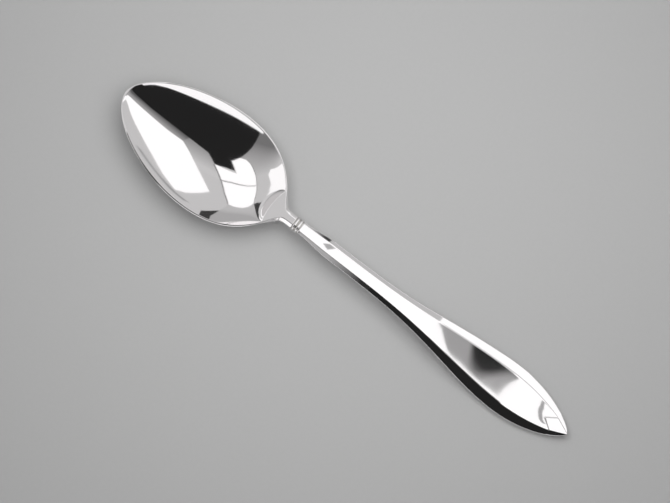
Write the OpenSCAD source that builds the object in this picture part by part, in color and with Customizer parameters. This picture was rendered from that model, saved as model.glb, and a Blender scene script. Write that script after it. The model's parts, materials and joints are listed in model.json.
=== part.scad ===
// Soup spoon: pointed bowl with a flat heel, faceted neck, beaded collar and hollow leaf handle.
// Millimetres. +X runs from the bowl tip to the handle tip, +Z is up, z = 0 is the table.
// Distances along the spoon start at the bowl tip, those along the handle at the collar.

/* [Bowl] */
// Width of the bowl across its rim
bowl_width = 42.4; // [38:0.2:46]
// Length of the bowl's egg outline from its tip to where it would close behind the heel
bowl_length = 74.8; // [72.4:0.2:77]
// Distance from the bowl tip to the widest place
bowl_widest_at = 42.2; // [39:0.2:44]
// Distance from the bowl tip to the crease where the hollow ends
hollow_length = 69.2; // [67.6:0.2:70.6]
// Distance from the bowl tip to the deepest place of the hollow
hollow_deepest_at = 39; // [36:0.5:42]
// Depth of the hollow below the rim
hollow_depth = 9; // [7.5:0.1:10]
// Steepness of the wall between the hollow and the heel
heel_slope = 1; // [0.8:0.05:1.2]
// How far the ends of the heel's crease lie behind its middle
heel_bow = 1.2; // [0:0.1:1.6]
// Metal thickness at the bottom of the bowl
bowl_wall = 1; // [0.8:0.05:1.4]
// Width of the flat on top of the rim
rim_flat = 0.5; // [0.3:0.05:0.8]
// Width of the broken edge outside the flat of the rim
rim_edge = 0.3; // [0.2:0.05:0.45]
// How far the rim at the bowl tip stands above the rim at the widest place
tip_rise = 2; // [0:0.1:3]

/* [Neck] */
// Length of the neck from the end of the bowl's egg outline to the collar
neck_length = 5.2; // [4.2:0.2:8]
// Width of the neck
neck_width = 5.2; // [4.6:0.1:5.6]
// Height of the neck
neck_height = 4.2; // [3.8:0.1:4.6]
// Width of the bevel on each side of the neck and the heel
neck_bevel = 1.5; // [1.2:0.1:1.6]
// How far the outer edge of that bevel lies below the top of the neck
neck_bevel_drop = 1.1; // [0.7:0.1:1.4]
// How far the neck stands above the straight line of the rim
neck_rise = 1; // [0:0.1:1.8]
// Size of the fillet between the rim and the neck
heel_fillet = 5.6; // [4.6:0.2:6.6]

/* [Collar] */
// Width of the collar across its beads
collar_width = 6.2; // [5.9:0.1:6.8]
// Height of the collar across its beads
collar_height = 5.2; // [5:0.1:5.8]
// Number of beads
bead_count = 2; // [1:1:3]
// Distance from one bead to the next
bead_pitch = 1.5; // [1.2:0.1:2]
// Length of the groove between beads
bead_groove = 0.4; // [0.2:0.05:0.6]
// How far the beads stand out of the groove
bead_proud = 0.45; // [0.3:0.05:0.6]

/* [Tang] */
// Diameter of the tang
tang_diameter = 2; // [1.6:0.1:2.2]
// Length of the tang inside the handle
tang_length = 24; // [14:1:27]
// Clearance round the tang in the collar and the filler
tang_clearance = 0.05; // [0.02:0.01:0.12]

/* [Handle] */
// Length of the handle from the collar to its tip
handle_length = 124.8; // [122:0.2:135]
// Width of the handle at the collar
root_width = 4.9; // [4.8:0.1:5.4]
// Width of the panel at the collar
root_panel = 3.2; // [2.8:0.1:3.4]
// Width of the flat back at the collar
root_back = 3.4; // [3.2:0.1:3.6]
// Length over which the handle widens from the collar to the stem
root_length = 15; // [10:1:20]
// Width of the stem
stem_width = 7; // [6.4:0.1:7.8]
// Width of the panel on the stem
stem_panel = 3.8; // [3.4:0.1:4.2]
// Width of the flat back of the stem
stem_back = 4.6; // [4:0.1:5]
// Thickness of the stem
stem_thickness = 4.3; // [4.1:0.1:4.8]
// Distance from the collar to where the stem begins to widen into the leaf
flare_at = 17; // [12:1:22]
// Width of the leaf
leaf_width = 19.6; // [17:0.2:22]
// Width of the panel on the leaf
leaf_panel = 12.2; // [11:0.2:13]
// Width of the flat back of the leaf
leaf_back = 13.4; // [12:0.2:14]
// Thickness of the leaf at the creases beside the panel
leaf_thickness = 4; // [3.8:0.1:4.6]
// Depth of the dish in the leaf's panel
dish_depth = 0.3; // [0.2:0.05:0.6]
// Distance from the widest place of the leaf to the handle tip
leaf_point = 28.5; // [26:0.5:31]
// Drop of the bevels for each millimetre of their width
bevel_slope = 0.55; // [0.45:0.05:0.65]
// Height of the narrow edge all round the handle
edge_height = 0.8; // [0.7:0.05:1]
// Wall thickness of the two halves
handle_wall = 0.6; // [0.5:0.05:0.65]
// Width of the seam where the two halves are soldered together
seam_width = 1.1; // [1:0.05:1.15]

/* [Handle line] */
// Distance from the collar to where the handle begins to bend down
bend_at = 54; // [46:1:58]
// Distance from the collar to the flat on the back that rests on the table
rest_at = 101; // [97:1:104]
// Length of that flat
rest_length = 8; // [6:0.5:10]
// How far the back of the tip is lifted off the table
tip_lift = 1.4; // [0.6:0.1:2.2]
// Thickness of the handle at its tip
tip_thickness = 1.8; // [1.4:0.1:2.4]

/* [Point] */
// Length of the faceted point from its side corners to the handle tip
point_length = 6.4; // [5:0.2:7.5]
// Length of the chevron that the point makes in the panel
point_chevron = 4; // [3:0.2:5]
// Height of the step up to the point
point_step = 0.2; // [0.1:0.05:0.3]
// Length of the slope of that step
point_ramp = 0.5; // [0.4:0.05:0.8]

/* [Filler] */
// Clearance between the filler and the two halves
filler_clearance = 0.05; // [0.02:0.01:0.12]
// Distance from the end of the filler to the handle tip
filler_short = 14; // [12:0.5:18]

/* [Hidden] */
collar_at = bowl_length + neck_length;
collar_length = bead_count * bead_pitch;
handle_at = collar_at + collar_length;
spoon_length = handle_at + handle_length;
widest_at = handle_length - leaf_point;
point_at = handle_length - point_length;
rest_end = rest_at + rest_length;
rim_margin = rim_flat + rim_edge;

// Shape constants of the outlines
tip_roundness = 1.12;
heel_pinch = 0.45;
heel_pinch_power = 8.5;
end_run = 1.2;
hollow_roundness = 1.75;
heel_blend = 3;
bow_run = 8;
flare_power = 1.9;
leaf_tip_power = 0.75;
panel_tip_power = 0.85;
bowl_back_power = 1;
neck_back_power = 0.55;
back_blend = 3;
rim_drop = 0.25;
rim_side = 0.35;
neck_side = 0.9;
bevel_run = 5;
rise_run = 12;
rise_from = bowl_widest_at + rise_run;
point_sweep = 0.15;
blunt = 0.02;
tip_blunt = 0.25;
edge_limit = 0.62;
hollow_limit = 0.35;
seam_share = 0.8;
tang_root = 2;
cut_over = 1;
tip_flat = 0.2;

// Half way between the two blunted tips, which is the origin
middle = (spoon_length + blunt - tip_blunt) / 2;

// Numbers of stations and lines in the lofts
tip_steps = 24;
heel_steps = 16;
neck_steps = 12;
hollow_lines = 12;
handle_steps = 44;
point_steps = 24;
panel_lines = 3;
bead_steps = 8;
collar_facets = 64;
tang_facets = 32;

function clamp(v, low, high) = min(max(v, low), high);
function mix(a, b, t) = a + (b - a) * t;
function smooth(t) = let (c = clamp(t, 0, 1)) c * c * (3 - 2 * c);
function smoother(t) = let (c = clamp(t, 0, 1)) c * c * c * (10 - 15 * c + 6 * c * c);
// The larger of two sizes, with a fillet of size k where they cross
function fillet_max(a, b, k) = let (h = max(k - abs(a - b), 0) / k) max(a, b) + h * h * k / 4;

// Cosine of the egg's angle at a distance u: 1 at the tip, 0 at the widest place, -1 at the end
function egg_cos(u, length, widest) = let (
    a = length / 2,
    c = widest - a,
    k = clamp(u, 0, length) - a - c
  ) clamp(-2 * k / (a + sqrt(a * a - 4 * c * k)), -1, 1);

// Half width of the egg. Behind its end it runs on below zero, so that the fillet dies out there.
function egg_half(u) = let (c = egg_cos(u, bowl_length, bowl_widest_at))
  bowl_width / 2 * pow(sqrt(1 - c * c), tip_roundness)
  * (1 - heel_pinch * pow((1 - c) / 2, heel_pinch_power)) - end_run * max(u - bowl_length, 0);

function bowl_half(u) = u < bowl_widest_at ? egg_half(u)
  : fillet_max(egg_half(u), neck_width / 2, heel_fillet);

// The heel's crease bows: where a point of station w lies that is a share v of the way to the rim.
// The bow dies out after its run towards the bowl tip, and at the collar.
function bow_reach(w) = w < hollow_length ? bow_run : collar_at - hollow_length;
function bowed(w, v) = let (t = (w - hollow_length) / bow_reach(w))
  w + heel_bow * v * v * pow(max(1 - t * t, 0), 2);

// Depth of the hollow in station w: a round hollow, and the heel's wall that cuts it off
function round_hollow(u) = let (c = egg_cos(u - rim_margin, bowl_length - 2 * rim_margin,
    hollow_deepest_at - rim_margin)) hollow_depth * pow(sqrt(1 - c * c), hollow_roundness);
function heel_wall(w) = heel_slope * max(hollow_length - w, 0);
function hollow(w, v = 0) = let (r = round_hollow(bowed(w, v)) * (1 - v * v), h = heel_wall(w))
  min(r, h) <= 0 ? 0 : r * h / pow(pow(r, heel_blend) + pow(h, heel_blend), 1 / heel_blend);

// Share of the neck in the section: 0 in the bowl, 1 behind the heel
function neckness(u) = smooth((u - hollow_length) / bevel_run);

function section_height(u) = u < bowl_widest_at ? hollow(u) + bowl_wall
  : fillet_max(hollow(u) + bowl_wall,
      neck_height * smooth((u - bowl_widest_at) / (hollow_length - bowl_widest_at)), back_blend);

// Height of the rim and of the neck's top, which is level, above the rim at the widest place
function rim_rise(u) = tip_rise * (1 - min(u, bowl_length) / bowl_widest_at)
  + neck_rise * smoother((u - rise_from) / (bowl_length - rise_from));

bowl_stations = concat(
  [blunt],
  [for (i = [1:tip_steps]) bowl_widest_at * (1 - cos(90 * i / tip_steps))],
  [for (i = [1:heel_steps])
    mix(bowl_widest_at, hollow_length, sin(90 * i / heel_steps))],
  [for (i = [1:neck_steps]) mix(hollow_length, collar_at, i / neck_steps)]
);
keel = max([for (u = bowl_stations) section_height(u) - rim_rise(u)]);
collar_z = keel + rim_rise(collar_at) - neck_height / 2;

// Half widths of the rim at a distance u: to the edge's inside and to the hollow
function crest_half(u) = let (half = bowl_half(u))
  half - min(mix(rim_edge, neck_bevel, neckness(u)), edge_limit * half);
function inner_half(u) = max(crest_half(u) - rim_flat, hollow_limit * bowl_half(u));
function rim_z(u) = keel + rim_rise(u);
function drop(u) = mix(rim_drop, neck_bevel_drop, neckness(u));
function side(u) = mix(rim_side, neck_side, neckness(u));

// Points of station w on the hollow and on the underside, a share v of the way to the rim
function hollow_point(w, v) = let (u = bowed(w, v))
  [u - middle, inner_half(u) * v, rim_z(u) - hollow(w, v)];
function under_point(w, v) = let (u = bowed(w, v), low = drop(u) + side(u))
  [u - middle, bowl_half(u) * v, rim_z(u) - low - (section_height(w) - low)
    * pow(max(1 - v * v, 0), mix(bowl_back_power, neck_back_power, neckness(u)))];

// One section of the bowl and neck as its upper line and its lower line
function bowl_section(w) = let (
    u = bowed(w, 1),
    x = u - middle,
    z = rim_z(u),
    half = bowl_half(u),
    crest = crest_half(u),
    lines = hollow_lines + 4,
    upper = concat([[x, -half, z - drop(u)], [x, -crest, z]],
      [for (i = [0:hollow_lines]) hollow_point(w, 2 * i / hollow_lines - 1)],
      [[x, crest, z], [x, half, z - drop(u)]]),
    lower = [for (i = [0:lines]) under_point(w, -cos(180 * i / lines))]
  ) [upper, lower];

// A solid through sections that each have an upper and a lower line of as many points. The outer
// corners of its end faces are on the upper line, or on the lower line if hollow_above is set.
module loft(sections, hollow_above = false) {
  count = len(sections[0][0]);
  ring = 2 * count;
  last = (len(sections) - 1) * ring;
  points = [for (s = sections, p = concat(s[0], [for (i = [count - 1:-1:0]) s[1][i]])) p];
  sides = [for (j = [0:len(sections) - 2], i = [0:ring - 1]) let (
      a = j * ring + i,
      b = j * ring + (i + 1) % ring
    ) each [[a, b, a + ring], [b, b + ring, a + ring]]];
  ends = [for (i = [0:count - 2]) let (p = i, q = i + 1, r = ring - 2 - i, s = ring - 1 - i)
    each (2 * i < count - 1) == hollow_above
      ? [[p, r, q], [p, s, r], [last + p, last + q, last + r], [last + p, last + r, last + s]]
      : [[q, p, s], [q, s, r], [last + q, last + s, last + p], [last + q, last + r, last + s]]];
  polyhedron(points, concat(sides, ends), 4);
}

// Half widths of the handle at a distance s from the collar
function flare(s) = pow(smooth((s - flare_at) / (widest_at - flare_at)), flare_power);
function tip_share(s) = clamp((s - widest_at) / leaf_point, 0, 1);
function handle_size(s, root, stem, leaf) =
  mix(mix(root, stem, smooth(s / root_length)), leaf, flare(s));
function handle_half(s) = handle_size(s, root_width, stem_width, leaf_width) / 2
  * pow(1 - pow(tip_share(s), 2), leaf_tip_power);
function plain_panel_half(s) = handle_size(s, root_panel, stem_panel, leaf_panel) / 2
  * pow(1 - pow(tip_share(s), 2), panel_tip_power);
function panel_half(s) = s < point_at ? plain_panel_half(s)
  : max(plain_panel_half(point_at) * (handle_length - s) / point_length, tip_flat);
function back_half(s) = max(handle_size(s, root_back, stem_back, leaf_back) / 2
  * pow(1 - pow(tip_share(s), 2), panel_tip_power), tip_flat);

// Heights of the handle's back, its creases and the parting line of its two halves
function handle_thickness(s) = mix(mix(stem_thickness, leaf_thickness, flare(s)),
  tip_thickness, pow(tip_share(s), 2));
function back_z(s) = (collar_z - stem_thickness / 2) * (1 - smoother((s - bend_at) / (rest_at - bend_at)))
  + tip_lift * pow(max(s - rest_end, 0) / (handle_length - rest_end), 2);
function crease_z(s) = back_z(s) + handle_thickness(s);
function edge_z(s) = crease_z(s) - bevel_slope * (handle_half(s) - panel_half(s));
function side_height(s) = edge_height * handle_thickness(s) / leaf_thickness;
function parting_z(s) = edge_z(s) - side_height(s) / 2;

// Share of the step up to the point at a place: 0 on the leaf, 1 on the point
function point_line(y) = let (corner = plain_panel_half(point_at))
  y < corner ? point_at - point_chevron * (1 - y / corner) : point_at - point_sweep * (y - corner);
function on_point(s, y) = smooth((s - point_line(abs(y))) / point_ramp + 0.5);
function front_z(s, v) = let (y = v * panel_half(s), share = on_point(s, y))
  crease_z(s) - dish_depth * flare(s) * (1 - v * v) * (1 - share) + point_step * share;

// Lines across the front panel and the back, and the whole outer lines of the two halves, as [y, z]
panel_shares = [for (i = [-panel_lines:panel_lines]) i / panel_lines];
function front_panel(s) = [for (v = panel_shares) [v * panel_half(s), front_z(s, v)]];
function back_panel(s) = [for (v = panel_shares) [v * back_half(s), back_z(s)]];
function outer_line(s, panel, edge) = let (h = handle_half(s), z = parting_z(s))
  concat([[-h, z], [-h, edge]], panel, [[h, edge], [h, z]]);
function front_line(s) = outer_line(s, front_panel(s),
  edge_z(s) + point_step * on_point(s, handle_half(s)));
function back_line(s) = outer_line(s, back_panel(s), edge_z(s) - side_height(s));

// The line of the hollow inside a panel: it stands off from the panel by a wall and ends on the
// parting face, a seam's width from the edge. Side is 1 for the front and -1 for the back.
function line_normal(line, i, side) = let (d = line[i + 1] - line[i]) side * [d[1], -d[0]] / norm(d);
function hollow_line(s, panel, side, wall, seam, parting) = let (
    h = handle_half(s),
    line = concat([[-h, parting_z(s)]], panel, [[h, parting_z(s)]]),
    moved = [for (i = [1:len(panel)]) let (
        a = line_normal(line, i - 1, side),
        b = line_normal(line, i, side)
      ) line[i] + wall * (a + b) / (1 + a * b)],
    foot = [seam - h, parting],
    knee = (foot + moved[0]) / 2
  ) concat([foot, knee], moved, [[-knee[0], knee[1]], [-foot[0], foot[1]]]);
function placed(line, s) = [for (p = line) [handle_at + s - middle, p[0], p[1]]];

// The parting face of the solid end, behind the hollow
function parting_line(s) = let (h = seam_share * handle_half(s), lines = panel_lines + 2)
  [for (i = [-lines:lines]) [h * i / lines, parting_z(s)]];

hollow_end = handle_length - filler_short;
handle_stations = concat(
  [for (i = [0:handle_steps]) hollow_end * i / handle_steps],
  [for (i = [1:point_steps]) mix(hollow_end, handle_length, i / point_steps)
    - (i == point_steps ? tip_blunt : 0)]
);
function inner_line(s, panel, side) = s > hollow_end ? parting_line(s)
  : hollow_line(s, panel, side, handle_wall, seam_width, parting_z(s));

// Bowl, heel and neck in one piece with the tang
module bowl() {
  color([0.82, 0.81, 0.79]) union() {
    loft([for (u = bowl_stations) bowl_section(u)]);
    tang(collar_at - tang_root, 0);
  }
}

// The tang's rod from a distance u on, larger all round by a clearance
module tang(u, clearance) {
  length = handle_at + tang_length + clearance - u;
  translate([u - middle, 0, collar_z]) rotate([0, 90, 0])
    cylinder(h = length, d = tang_diameter + 2 * clearance, $fn = tang_facets);
}

// Beaded ring between neck and handle
module collar() {
  core = collar_height / 2 - bead_proud;
  bead = bead_pitch - bead_groove;
  beads = [for (b = [0:bead_count - 1], i = [0:bead_steps]) let (a = 180 - 180 * i / bead_steps)
    [core + bead_proud * sin(a), (b + 0.5) * bead_pitch + bead / 2 * cos(a)]];
  spread = (collar_width - collar_height) / 2;
  profile = concat([[0, 0], [core, 0]], beads, [[core, collar_length], [0, collar_length]]);
  color([0.76, 0.75, 0.73])
    translate([collar_at - middle, 0, collar_z]) rotate([0, 90, 0])
      difference() {
        for (turn = [0, 180]) rotate(turn) translate([0, spread, 0]) {
          rotate_extrude(angle = 180, $fn = collar_facets) polygon(profile);
          rotate([90, 0, 0]) linear_extrude(2 * spread) polygon(profile);
        }
        translate([0, 0, -cut_over])
          cylinder(h = collar_length + 2 * cut_over, d = tang_diameter + 2 * tang_clearance,
            $fn = tang_facets);
      }
}

// Stamped front half of the hollow handle
module handle_front() {
  color([0.84, 0.83, 0.81]) loft([for (s = handle_stations)
    [placed(front_line(s), s), placed(inner_line(s, front_panel(s), 1), s)]]);
}

// Stamped back half of the hollow handle
module handle_back() {
  color([0.79, 0.78, 0.76]) loft([for (s = handle_stations)
    [placed(inner_line(s, back_panel(s), -1), s), placed(back_line(s), s)]], true);
}

// Cement that fills the handle and holds the tang
module handle_filler() {
  wall = handle_wall + filler_clearance;
  seam = seam_width + filler_clearance;
  lip = filler_clearance;
  filler_end = hollow_end - filler_clearance;
  color([0.42, 0.34, 0.27]) difference() {
    loft([for (i = [0:handle_steps]) let (s = min(hollow_end * i / handle_steps, filler_end)) [
      placed(hollow_line(s, front_panel(s), 1, wall, seam, parting_z(s) + lip), s),
      placed(hollow_line(s, back_panel(s), -1, wall, seam, parting_z(s) - lip), s)
    ]]);
    tang(handle_at - cut_over, tang_clearance);
  }
}

bowl();
collar();
handle_front();
handle_back();
handle_filler();
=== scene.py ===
import json
import math
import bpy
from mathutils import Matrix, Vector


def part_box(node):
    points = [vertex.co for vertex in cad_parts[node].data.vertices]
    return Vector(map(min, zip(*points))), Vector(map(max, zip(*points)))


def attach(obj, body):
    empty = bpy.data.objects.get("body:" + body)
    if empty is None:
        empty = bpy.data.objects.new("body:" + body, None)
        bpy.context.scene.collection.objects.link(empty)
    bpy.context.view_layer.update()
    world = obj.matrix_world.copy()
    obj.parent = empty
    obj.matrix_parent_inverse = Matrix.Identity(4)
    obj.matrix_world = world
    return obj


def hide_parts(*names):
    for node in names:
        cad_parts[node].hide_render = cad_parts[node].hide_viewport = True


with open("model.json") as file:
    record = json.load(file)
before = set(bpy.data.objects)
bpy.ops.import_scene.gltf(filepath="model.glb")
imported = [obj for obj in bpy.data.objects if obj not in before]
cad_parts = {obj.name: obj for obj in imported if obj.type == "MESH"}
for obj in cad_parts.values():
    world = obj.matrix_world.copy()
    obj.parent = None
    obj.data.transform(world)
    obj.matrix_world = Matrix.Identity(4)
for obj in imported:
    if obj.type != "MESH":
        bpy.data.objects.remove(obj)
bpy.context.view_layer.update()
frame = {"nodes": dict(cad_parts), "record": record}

from types import SimpleNamespace

import bpy
import numpy as np
from bpy.props import FloatProperty, FloatVectorProperty, IntProperty, PointerProperty
from bpy.types import NodeSocket, Operator, Panel, PropertyGroup
from mathutils import Vector

bl_info = {
    "name": "Soup Spoon",
    "version": (1, 0, 0),
    "blender": (4, 5, 0),
    "location": "View3D > Sidebar > Soup Spoon",
    "description": "Builds a polished soup spoon round its packed frame, and a plain studio",
    "category": "Object",
}

COLLAR_LOW, COLLAR_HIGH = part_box("collar")
COLLAR_Z = (COLLAR_LOW.z + COLLAR_HIGH.z) / 2
HANDLE_LOW, HANDLE_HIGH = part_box("handle_front")
COLOURS = {m["slot"]: tuple(m["base_color"]) for m in frame["record"]["materials"]}

MM = 0.001
FINE = 0.02 * MM  # Smallest step between two lines of a piece
TINY = 1e-9  # A length that counts as none
TIP_BLUNT = 0.25 * MM  # How much of the handle's point is blunted
UPRIGHT_TO_X = (0.0, math.pi / 2, 0.0)  # Turn that lays an upright shape along the spoon


# Sizes and colours that a user would change

def size(name, mm, description):
    return FloatProperty(name=name, description=description, default=mm * MM, min=0.0,
                         precision=5, subtype="DISTANCE", unit="LENGTH")


def share(name, value, description):
    return FloatProperty(name=name, description=description, default=value, min=0.0,
                         precision=4, subtype="FACTOR")


def colour(name, description, default):
    return FloatVectorProperty(name=name, description=description, default=default,
                               size=3, min=0.0, max=1.0, subtype="COLOR")


def angle(name, description, degrees):
    return FloatProperty(name=name, description=description, default=math.radians(degrees),
                         subtype="ANGLE", unit="ROTATION")


class SpoonBowlSizes(PropertyGroup):
    """Sizes of the bowl, its heel, its neck and the tang."""
    bowl_width: size("Bowl Width", 42.4, "Width of the egg that the rim follows")
    bowl_length: size("Bowl Length", 74.8, "Length of that egg")
    bowl_widest_at: size("Widest At", 42.2, "From the tip to the widest place")
    hollow_length: size("Hollow Length", 69.2, "From the tip to the heel's crease")
    hollow_deepest_at: size("Deepest At", 39, "From the tip to the deepest place")
    hollow_depth: size("Hollow Depth", 9, "Depth of the hollow below the rim")
    heel_slope: share("Heel Slope", 1, "Steepness of the wall below the heel's crease")
    heel_bow: size("Heel Bow", 1.2, "How far the heel's crease bows")
    bow_run: size("Bow Run", 8, "Length over which that bow dies out towards the tip")
    heel_round: size("Heel Rounding", 0.09, "Rounding of the heel's crease")
    bowl_wall: size("Bowl Wall", 1, "Thickness of the sheet")
    rim_flat: size("Rim Flat", 0.5, "Width of the flat on the rim")
    rim_edge: size("Rim Edge", 0.3, "Width of the bevel outside that flat")
    rim_drop: size("Rim Drop", 0.25, "Height of that bevel")
    rim_side: size("Rim Side", 0.35, "Height of the rim's upright side")
    tip_rise: size("Tip Rise", 2, "How far the tip stands above the middle of the rim")
    neck_width: size("Neck Width", 5.2, "Width of the neck")
    neck_height: size("Neck Height", 4.2, "Height of the neck")
    neck_bevel: size("Neck Bevel", 1.5, "Width of the neck's bevels")
    neck_bevel_drop: size("Neck Bevel Drop", 1.1, "Height of the neck's bevels")
    neck_side: size("Neck Side", 0.9, "Height of the neck's upright sides")
    neck_rise: size("Neck Rise", 1, "How far the neck stands above the middle of the rim")
    neck_length: size("Neck Length", 5.2, "From the end of the egg to the collar")
    rise_run: size("Rise Run", 12, "From the widest place to where the neck rises")
    bevel_run: size("Bevel Run", 5, "Length over which the rim turns into the neck")
    heel_fillet: size("Heel Fillet", 5.6, "Fillet between bowl and neck, seen from above")
    back_blend: size("Back Blend", 3, "Fillet between bowl and neck, seen from the side")
    tang_diameter: size("Tang Diameter", 2, "Diameter of the rod that goes into the handle")
    tang_length: size("Tang Length", 24, "Length of that rod behind the collar")


class SpoonCollarSizes(PropertyGroup):
    """Sizes of the beaded collar."""
    collar_width: size("Collar Width", 6.2, "Width over the beads")
    collar_height: size("Collar Height", 5.2, "Height over the beads")
    bead_pitch: size("Bead Pitch", 1.5, "Distance from bead to bead")
    bead_groove: size("Bead Groove", 0.4, "Width of the groove between two beads")
    bead_proud: size("Bead Height", 0.45, "How far a bead stands out of its groove")
    bore: size("Bore", 2.1, "Diameter of the hole for the tang")
    bead_count: IntProperty(name="Beads", description="Number of beads", default=2, min=1)


class SpoonHandleSizes(PropertyGroup):
    """Sizes of the two halves of the handle."""
    root_width: size("Root Width", 4.9, "Width at the collar")
    root_panel: size("Root Panel", 3.2, "Width of the front panel at the collar")
    root_back: size("Root Back", 3.4, "Width of the back panel at the collar")
    root_length: size("Root Length", 15, "Length over which the root widens to the stem")
    stem_width: size("Stem Width", 7, "Width of the stem")
    stem_panel: size("Stem Panel", 3.8, "Width of the stem's front panel")
    stem_back: size("Stem Back", 4.6, "Width of the stem's back panel")
    stem_thickness: size("Stem Thickness", 4.3, "Thickness of the stem")
    flare_at: size("Flare At", 17, "From the collar to where the stem widens")
    flare_power: share("Flare Power", 1.9, "How late the stem widens to the leaf")
    leaf_width: size("Leaf Width", 19.6, "Width of the leaf")
    leaf_panel: size("Leaf Panel", 12.2, "Width of the leaf's front panel")
    leaf_back: size("Leaf Back", 13.4, "Width of the leaf's back panel")
    leaf_thickness: size("Leaf Thickness", 4, "Thickness of the leaf")
    leaf_point: size("Leaf Point", 28.5, "From the widest place to the tip")
    dish_depth: size("Dish Depth", 0.3, "Depth of the dish in the leaf's panel")
    bevel_slope: share("Bevel Slope", 0.55, "Steepness of the front's bevels")
    edge_height: size("Edge Height", 0.8, "Height of the upright edge of the leaf")
    wall: size("Wall", 0.6, "Thickness of the stamped sheet")
    seam_width: size("Seam Width", 1.1, "Width of the seam where the halves meet")
    bend_at: size("Bend At", 54, "From the collar to where the handle bends down")
    rest_at: size("Rest At", 101, "From the collar to where it lies on the table")
    rest_length: size("Rest Length", 8, "Length that lies on the table")
    tip_lift: size("Tip Lift", 1.4, "How far the tip stands off the table")
    tip_thickness: size("Tip Thickness", 1.8, "Thickness of the tip")
    nose: size("Nose", 1.2, "Length over which the tip is rounded off")
    point_length: size("Point Length", 6.4, "Length of the faceted point")
    point_chevron: size("Point Chevron", 4, "Length of the chevron in the panel")
    point_step: size("Point Step", 0.2, "Height of the step up to the point")
    point_ramp: size("Point Ramp", 0.5, "Length of the slope of that step")
    hollow_short: size("Hollow Short", 14, "From the end of the hollow to the tip")
    stem_round: size("Stem Rounding", 0.14, "Rounding of the stem's creases")
    leaf_round: size("Leaf Rounding", 0.3, "Rounding of the leaf's creases")
    edge_round: size("Edge Rounding", 0.14, "Rounding of the outer edges")


class SpoonFinish(PropertyGroup):
    """Colours and polish of the metal and of the cement."""
    bowl: colour("Bowl", "Colour of the bowl's metal", COLOURS["bowl_silver"])
    collar: colour("Collar", "Colour of the collar's metal", COLOURS["collar_silver"])
    handle: colour("Handle", "Colour of the handle's metal", COLOURS["handle_silver"])
    cement: colour("Cement", "Colour of the cement in the handle", COLOURS["handle_cement"])
    polish: share("Roughness", 0.045, "Roughness of well polished metal")
    smudge: share("Smudge", 0.05, "How much rougher handled places are")


class SpoonStudio(PropertyGroup):
    """The camera and the studio."""
    azimuth: angle("Azimuth", "Turn of the camera round the spoon", 37.906)
    elevation: angle("Elevation", "Height of the camera", 81)
    distance: size("Distance", 900, "From the camera to its target")
    target: FloatVectorProperty(name="Target", description="Where the camera looks",
                                default=(-0.005375, 0.00093, 0.006), subtype="TRANSLATION",
                                unit="LENGTH")
    lens: FloatProperty(name="Lens", description="Focal length in millimetres", default=129.87,
                        subtype="DISTANCE_CAMERA", unit="CAMERA")
    floor: colour("Floor", "Colour of the floor", (0.46, 0.46, 0.46))


# Node trees and the numbers in them

class Nodes:
    """A node tree whose nodes are made one by one."""

    def __init__(self, tree):
        self.tree = tree

    def feed(self, socket, value):
        """Links a number or another socket to a socket, or sets its own value."""
        if isinstance(value, Field):
            value = value.socket
        if isinstance(value, NodeSocket):
            self.tree.links.new(value, socket)
        else:
            socket.default_value = value

    def node(self, kind, inputs=None, **settings):
        """A new node with its settings, its inputs fed by name or number."""
        node = self.tree.nodes.new(kind)
        for key, value in settings.items():
            setattr(node, key, value)
        for key, value in (inputs or {}).items():
            self.feed(node.inputs[key], value)
        return node

    def out(self, kind, inputs=None, output=0, **settings):
        """What a new node gives, as a socket."""
        return self.node(kind, inputs, **settings).outputs[output]

    def field(self, *asked, **settings):
        """What a new node gives, as a number."""
        return Field(self, self.out(*asked, **settings))


class Field:
    """A number in a node tree, with the usual arithmetic."""

    def __init__(self, nodes, socket):
        self.nodes = nodes
        self.socket = socket

    def math(self, operation, *values):
        return self.nodes.field("ShaderNodeMath", dict(enumerate(values)), operation=operation)

    def __add__(self, other): return self.math("ADD", self, other)
    def __radd__(self, other): return self.math("ADD", other, self)
    def __sub__(self, other): return self.math("SUBTRACT", self, other)
    def __rsub__(self, other): return self.math("SUBTRACT", other, self)
    def __mul__(self, other): return self.math("MULTIPLY", self, other)
    def __rmul__(self, other): return self.math("MULTIPLY", other, self)
    def __truediv__(self, other): return self.math("DIVIDE", self, other)
    def __pow__(self, other): return self.math("POWER", self, other)
    def __neg__(self): return self.math("MULTIPLY", self, -1.0)
    def __abs__(self): return self.math("ABSOLUTE", self)
    def root(self): return self.math("SQRT", self)
    def below(self, other): return self.math("LESS_THAN", self, other)
    def at_least(self, other): return self.math("MAXIMUM", self, other)
    def at_most(self, other): return self.math("MINIMUM", self, other)
    def within(self, low, high): return self.at_least(low).at_most(high)

    def step(self, kind="SMOOTHSTEP"):
        """A smooth rise from 0 to 1."""
        return self.nodes.field("ShaderNodeMapRange", {"Value": self}, "Result",
                                interpolation_type=kind)


def mix(a, b, t):
    return a + (b - a) * t


def fillet_max(a, b, k):
    """The larger of two sizes, with a fillet of size k where they cross."""
    h = (k - abs(a - b)).at_least(0.0) / k
    return a.at_least(b) + h * h * k * 0.25


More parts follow.
